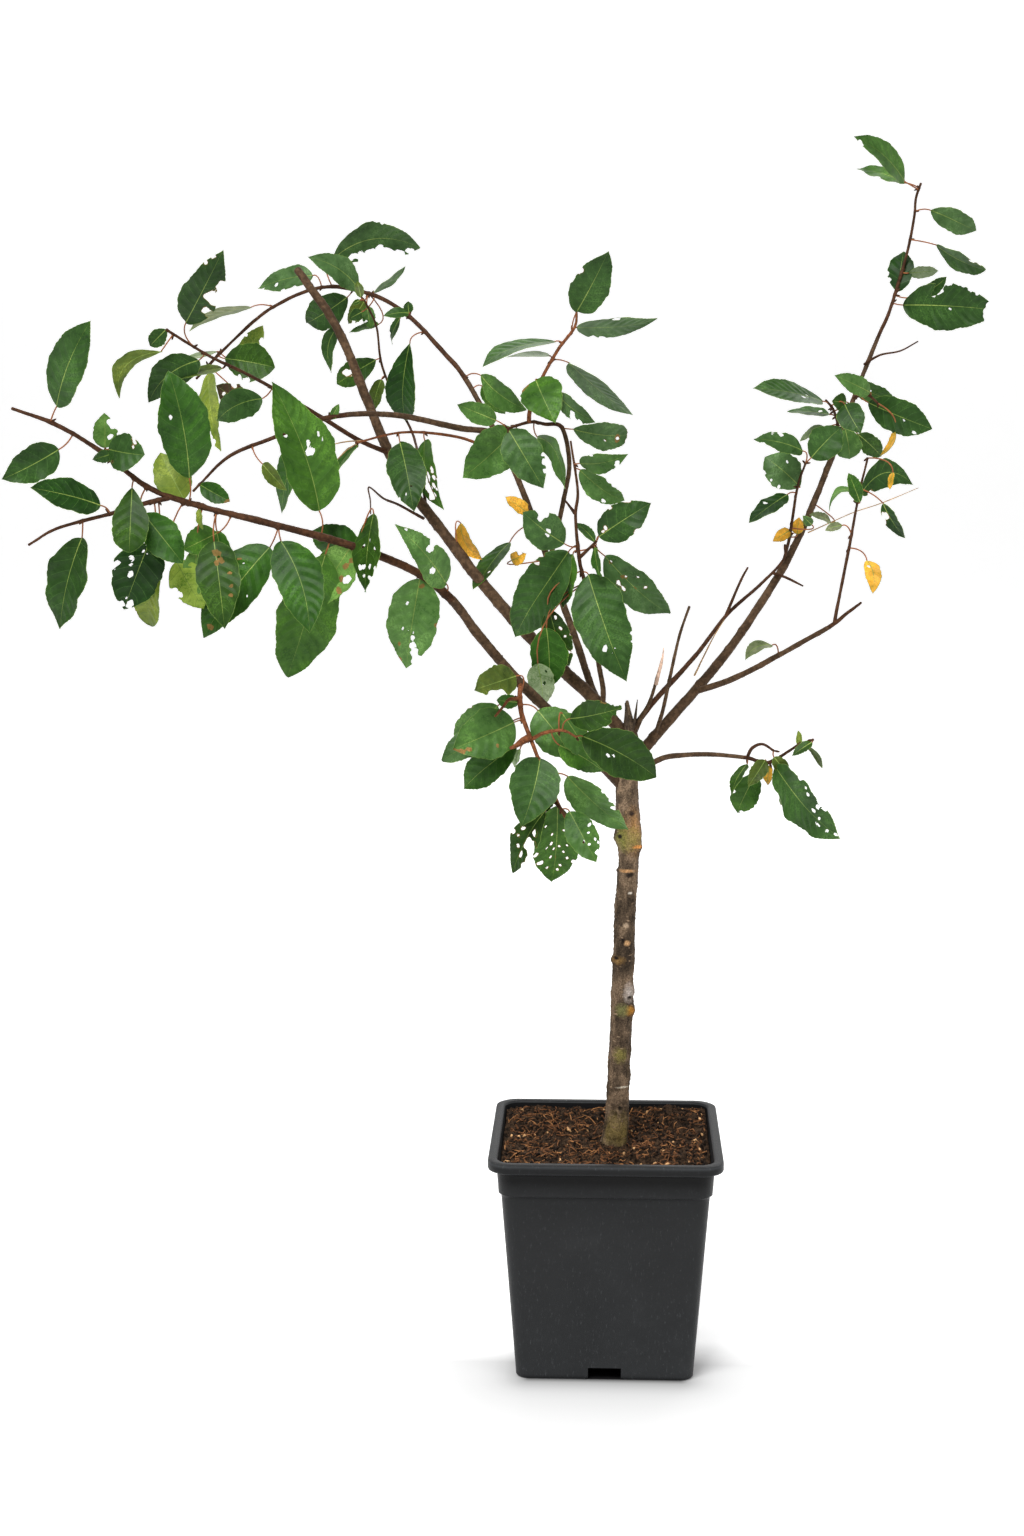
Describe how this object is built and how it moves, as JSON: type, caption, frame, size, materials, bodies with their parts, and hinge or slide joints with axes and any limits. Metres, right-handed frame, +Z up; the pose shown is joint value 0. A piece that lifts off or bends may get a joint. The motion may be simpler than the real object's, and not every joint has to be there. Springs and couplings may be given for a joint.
{
  "type": "potted mirabelle de nancy tree",
  "caption": "Young mirabelle plum tree with a bare trunk, a sparse crown reaching further to one side and worn green leaves, in a square black nursery pot.",
  "frame": {"origin": "centre of the pot's flat underside", "axes": "+Z up, +X to the right and +Y away from the front view, along the pot's sides"},
  "size_m": [0.9131, 0.5259, 1.1987],
  "materials": {
    "pot": "matte charcoal moulded plastic with a fine grain",
    "compost": "damp dark bark compost with tan fibres and chips",
    "trunk": "rough grey-brown bark with scars and a graft bulge",
    "boughs": "dark red-brown young bark with pale breathing pores",
    "foliage": "green leaves with pale veins, some holed, torn or turning yellow",
    "twigs": "thin bare reddish-brown twigs"
  },
  "bodies": {
    "root": {"pot": "pot", "compost": "compost", "trunk": "trunk", "bough_low_left": "boughs", "bough_left_cut": "boughs", "bough_arching": "boughs", "bough_level_left": "boughs", "bough_centre_back": "boughs", "bough_centre_front": "boughs", "bough_right": "boughs", "bough_right_side": "boughs", "bough_low_right": "boughs", "shoot_bare_short": "boughs", "shoot_broken": "boughs", "foliage_low_left": "foliage", "foliage_arching": "foliage", "foliage_level_left": "foliage", "foliage_level_side": "foliage", "foliage_cut_side": "foliage", "foliage_thin_upright": "foliage", "foliage_centre_top": "foliage", "foliage_centre_front": "foliage", "foliage_fork": "foliage", "foliage_right_top": "foliage", "foliage_right_inner": "foliage", "foliage_right_spur_left": "foliage", "foliage_right_spur_right": "foliage", "foliage_right_side": "foliage", "foliage_low_right": "foliage", "twigs_bare_right": "twigs"}
  },
  "joints": []
}
